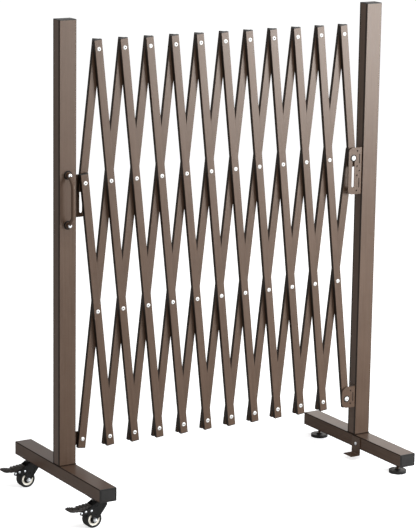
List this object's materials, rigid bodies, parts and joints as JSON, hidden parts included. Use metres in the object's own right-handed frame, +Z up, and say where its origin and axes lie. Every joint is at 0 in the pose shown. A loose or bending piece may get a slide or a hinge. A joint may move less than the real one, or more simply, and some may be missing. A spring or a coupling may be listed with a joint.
{
  "type": "expandable barrier gate",
  "caption": "Expandable barrier gate: a riveted scissor lattice of slim bars between a post on braked casters and a post on levelling feet.",
  "frame": {"origin": "on the floor, at the middle of the footprint's box as the gate stands in the picture", "axes": "+X along the gate from the stand on casters to the stand on levelling feet, +Y to the rear, away from the pull handle, +Z up"},
  "size_m": [1.306, 0.59, 1.58],
  "materials": {
    "powder_coat": "fine textured bronze-brown powder coat",
    "cap_plastic": "matte black moulded plastic",
    "rivet_aluminium": "bright blind rivets and washers",
    "zinc_steel": "bright zinc plate",
    "caster_steel": "satin black pressed steel",
    "pedal_plastic": "ribbed black moulded plastic",
    "tyre": "smooth black tyre on a cream wheel centre"
  },
  "bodies": {
    "fixed_stand": {"fixed_post": "powder_coat", "fixed_base": "powder_coat", "fixed_caps": "cap_plastic", "fixed_brackets": "powder_coat", "fixed_screws": "zinc_steel", "floor_bracket": "powder_coat"},
    "mobile_stand": {"mobile_post": "powder_coat", "mobile_base": "powder_coat", "mobile_caps": "cap_plastic", "mobile_brackets": "powder_coat", "mobile_screws": "zinc_steel", "pull_handle": "powder_coat", "caster_plates": "caster_steel"},
    "front_caster": {"front_caster_fork": "caster_steel", "front_caster_pins": "zinc_steel"},
    "front_wheel": {"front_caster_wheel": "tyre"},
    "front_brake": {"front_brake_pedal": "pedal_plastic"},
    "front_levelling_foot": {"front_foot": "cap_plastic"},
    "rear_caster": {"rear_caster_fork": "caster_steel", "rear_caster_pins": "zinc_steel"},
    "rear_wheel": {"rear_caster_wheel": "tyre"},
    "rear_brake": {"rear_brake_pedal": "pedal_plastic"},
    "rear_levelling_foot": {"rear_foot": "cap_plastic"},
    "front_link_01": {"front_bar_01": "powder_coat", "rivets_01": "rivet_aluminium"},
    "front_link_02": {"front_bar_02": "powder_coat", "rivets_02": "rivet_aluminium"},
    "front_link_03": {"front_bar_03": "powder_coat", "rivets_03": "rivet_aluminium"},
    "front_link_04": {"front_bar_04": "powder_coat", "rivets_04": "rivet_aluminium"},
    "front_link_05": {"front_bar_05": "powder_coat", "rivets_05": "rivet_aluminium"},
    "front_link_06": {"front_bar_06": "powder_coat", "rivets_06": "rivet_aluminium"},
    "front_link_07": {"front_bar_07": "powder_coat", "rivets_07": "rivet_aluminium"},
    "front_link_08": {"front_bar_08": "powder_coat", "rivets_08": "rivet_aluminium"},
    "front_link_09": {"front_bar_09": "powder_coat", "rivets_09": "rivet_aluminium"},
    "front_link_10": {"front_bar_10": "powder_coat", "rivets_10": "rivet_aluminium"},
    "front_link_11": {"front_bar_11": "powder_coat", "rivets_11": "rivet_aluminium"},
    "front_link_12": {"front_bar_12": "powder_coat", "rivets_12": "rivet_aluminium"},
    "rear_link_01": {"rear_bar_01": "powder_coat"},
    "rear_link_02": {"rear_bar_02": "powder_coat"},
    "rear_link_03": {"rear_bar_03": "powder_coat"},
    "rear_link_04": {"rear_bar_04": "powder_coat"},
    "rear_link_05": {"rear_bar_05": "powder_coat"},
    "rear_link_06": {"rear_bar_06": "powder_coat"},
    "rear_link_07": {"rear_bar_07": "powder_coat"},
    "rear_link_08": {"rear_bar_08": "powder_coat"},
    "rear_link_09": {"rear_bar_09": "powder_coat"},
    "rear_link_10": {"rear_bar_10": "powder_coat"},
    "rear_link_11": {"rear_bar_11": "powder_coat"},
    "rear_link_12": {"rear_bar_12": "powder_coat"}
  },
  "joints": [
    {"name": "fold", "type": "hinge", "parent": "fixed_stand", "child": "front_link_11", "pos_m": [0.5555, 0, 0.213], "axis": [0, -1, 0], "range_deg": [-4.3, 21.5]},
    {"name": "rear_link_10_pivot", "type": "hinge", "parent": "front_link_11", "child": "rear_link_10", "pos_m": [0.416, 0, 1.48035], "axis": [0, 1, 0], "range_deg": [-8.6, 43]},
    {"name": "front_link_08_pivot", "type": "hinge", "parent": "rear_link_10", "child": "front_link_08", "pos_m": [0.2765, 0, 0.213], "axis": [0, -1, 0], "range_deg": [-8.6, 43]},
    {"name": "rear_link_07_pivot", "type": "hinge", "parent": "front_link_08", "child": "rear_link_07", "pos_m": [0.137, 0, 1.48035], "axis": [0, 1, 0], "range_deg": [-8.6, 43]},
    {"name": "front_link_05_pivot", "type": "hinge", "parent": "rear_link_07", "child": "front_link_05", "pos_m": [-0.0025, 0, 0.213], "axis": [0, -1, 0], "range_deg": [-8.6, 43]},
    {"name": "rear_link_04_pivot", "type": "hinge", "parent": "front_link_05", "child": "rear_link_04", "pos_m": [-0.142, 0, 1.48035], "axis": [0, 1, 0], "range_deg": [-8.6, 43]},
    {"name": "front_link_02_pivot", "type": "hinge", "parent": "rear_link_04", "child": "front_link_02", "pos_m": [-0.2815, 0, 0.213], "axis": [0, -1, 0], "range_deg": [-8.6, 43]},
    {"name": "rear_link_02_pivot", "type": "hinge", "parent": "front_link_02", "child": "rear_link_02", "pos_m": [-0.3745, 0, 1.0579], "axis": [0, 1, 0], "range_deg": [-8.6, 43]},
    {"name": "rear_link_11_pivot", "type": "hinge", "parent": "front_link_11", "child": "rear_link_11", "pos_m": [0.4625, 0, 1.0579], "axis": [0, 1, 0], "range_deg": [-8.6, 43]},
    {"name": "rear_link_12_pivot", "type": "hinge", "parent": "front_link_11", "child": "rear_link_12", "pos_m": [0.509, 0, 0.63545], "axis": [0, 1, 0], "range_deg": [-8.6, 43]},
    {"name": "rear_link_09_pivot", "type": "hinge", "parent": "front_link_08", "child": "rear_link_09", "pos_m": [0.23, 0, 0.63545], "axis": [0, 1, 0], "range_deg": [-8.6, 43]},
    {"name": "rear_link_08_pivot", "type": "hinge", "parent": "front_link_08", "child": "rear_link_08", "pos_m": [0.1835, 0, 1.0579], "axis": [0, 1, 0], "range_deg": [-8.6, 43]},
    {"name": "rear_link_06_pivot", "type": "hinge", "parent": "front_link_05", "child": "rear_link_06", "pos_m": [-0.049, 0, 0.63545], "axis": [0, 1, 0], "range_deg": [-8.6, 43]},
    {"name": "rear_link_05_pivot", "type": "hinge", "parent": "front_link_05", "child": "rear_link_05", "pos_m": [-0.0955, 0, 1.0579], "axis": [0, 1, 0], "range_deg": [-8.6, 43]},
    {"name": "rear_link_03_pivot", "type": "hinge", "parent": "front_link_02", "child": "rear_link_03", "pos_m": [-0.328, 0, 0.63545], "axis": [0, 1, 0], "range_deg": [-8.6, 43]},
    {"name": "rear_link_01_pivot", "type": "hinge", "parent": "front_link_02", "child": "rear_link_01", "pos_m": [-0.421, 0, 1.48035], "axis": [0, 1, 0], "range_deg": [-8.6, 43]},
    {"name": "front_link_10_pivot", "type": "hinge", "parent": "rear_link_10", "child": "front_link_10", "pos_m": [0.3695, 0, 1.0579], "axis": [0, -1, 0], "range_deg": [-8.6, 43]},
    {"name": "front_link_09_pivot", "type": "hinge", "parent": "rear_link_10", "child": "front_link_09", "pos_m": [0.323, 0, 0.63545], "axis": [0, -1, 0], "range_deg": [-8.6, 43]},
    {"name": "front_link_07_pivot", "type": "hinge", "parent": "rear_link_07", "child": "front_link_07", "pos_m": [0.0905, 0, 1.0579], "axis": [0, -1, 0], "range_deg": [-8.6, 43]},
    {"name": "front_link_06_pivot", "type": "hinge", "parent": "rear_link_07", "child": "front_link_06", "pos_m": [0.044, 0, 0.63545], "axis": [0, -1, 0], "range_deg": [-8.6, 43]},
    {"name": "front_link_04_pivot", "type": "hinge", "parent": "rear_link_04", "child": "front_link_04", "pos_m": [-0.1885, 0, 1.0579], "axis": [0, -1, 0], "range_deg": [-8.6, 43]},
    {"name": "front_link_03_pivot", "type": "hinge", "parent": "rear_link_04", "child": "front_link_03", "pos_m": [-0.235, 0, 0.63545], "axis": [0, -1, 0], "range_deg": [-8.6, 43]},
    {"name": "front_link_01_pivot", "type": "hinge", "parent": "rear_link_02", "child": "front_link_01", "pos_m": [-0.421, 0, 0.63545], "axis": [0, -1, 0], "range_deg": [-8.6, 43]},
    {"name": "front_link_12_pivot", "type": "hinge", "parent": "rear_link_11", "child": "front_link_12", "pos_m": [0.509, 0, 1.48035], "axis": [0, -1, 0], "range_deg": [-8.6, 43]},
    {"name": "mobile_stand_pivot", "type": "hinge", "parent": "rear_link_02", "child": "mobile_stand", "pos_m": [-0.4675, 0, 0.213], "axis": [0, -1, 0], "range_deg": [-4.3, 21.5]},
    {"name": "front_swivel", "type": "hinge", "parent": "mobile_stand", "child": "front_caster", "pos_m": [-0.5345, -0.231, 0], "axis": [0, 0, 1], "continuous": true},
    {"name": "front_wheel_spin", "type": "hinge", "parent": "front_caster", "child": "front_wheel", "pos_m": [-0.5585, -0.231, 0.0285], "axis": [0, 1, 0], "continuous": true},
    {"name": "front_brake_press", "type": "hinge", "parent": "front_caster", "child": "front_brake", "pos_m": [-0.5895, -0.231, 0.0595], "axis": [0, -1, 0], "range_deg": [0, 8]},
    {"name": "front_foot_height", "type": "slide", "parent": "fixed_stand", "child": "front_levelling_foot", "axis": [0, 0, 1], "range_m": [0, 0.01]},
    {"name": "rear_swivel", "type": "hinge", "parent": "mobile_stand", "child": "rear_caster", "pos_m": [-0.5345, 0.231, 0], "axis": [0, 0, 1], "continuous": true},
    {"name": "rear_wheel_spin", "type": "hinge", "parent": "rear_caster", "child": "rear_wheel", "pos_m": [-0.5585, 0.231, 0.0285], "axis": [0, 1, 0], "continuous": true},
    {"name": "rear_brake_press", "type": "hinge", "parent": "rear_caster", "child": "rear_brake", "pos_m": [-0.5895, 0.231, 0.0595], "axis": [0, -1, 0], "range_deg": [0, 8]},
    {"name": "rear_foot_height", "type": "slide", "parent": "fixed_stand", "child": "rear_levelling_foot", "axis": [0, 0, 1], "range_m": [0, 0.01]}
  ],
  "couplings": [
    {"joint": "rear_link_10_pivot", "follows": "fold", "ratio": 2},
    {"joint": "front_link_08_pivot", "follows": "fold", "ratio": 2},
    {"joint": "rear_link_07_pivot", "follows": "fold", "ratio": 2},
    {"joint": "front_link_05_pivot", "follows": "fold", "ratio": 2},
    {"joint": "rear_link_04_pivot", "follows": "fold", "ratio": 2},
    {"joint": "front_link_02_pivot", "follows": "fold", "ratio": 2},
    {"joint": "rear_link_02_pivot", "follows": "fold", "ratio": 2},
    {"joint": "rear_link_11_pivot", "follows": "fold", "ratio": 2},
    {"joint": "rear_link_12_pivot", "follows": "fold", "ratio": 2},
    {"joint": "rear_link_09_pivot", "follows": "fold", "ratio": 2},
    {"joint": "rear_link_08_pivot", "follows": "fold", "ratio": 2},
    {"joint": "rear_link_06_pivot", "follows": "fold", "ratio": 2},
    {"joint": "rear_link_05_pivot", "follows": "fold", "ratio": 2},
    {"joint": "rear_link_03_pivot", "follows": "fold", "ratio": 2},
    {"joint": "rear_link_01_pivot", "follows": "fold", "ratio": 2},
    {"joint": "front_link_10_pivot", "follows": "fold", "ratio": 2},
    {"joint": "front_link_09_pivot", "follows": "fold", "ratio": 2},
    {"joint": "front_link_07_pivot", "follows": "fold", "ratio": 2},
    {"joint": "front_link_06_pivot", "follows": "fold", "ratio": 2},
    {"joint": "front_link_04_pivot", "follows": "fold", "ratio": 2},
    {"joint": "front_link_03_pivot", "follows": "fold", "ratio": 2},
    {"joint": "front_link_01_pivot", "follows": "fold", "ratio": 2},
    {"joint": "front_link_12_pivot", "follows": "fold", "ratio": 2},
    {"joint": "mobile_stand_pivot", "follows": "fold", "ratio": 1}
  ]
}
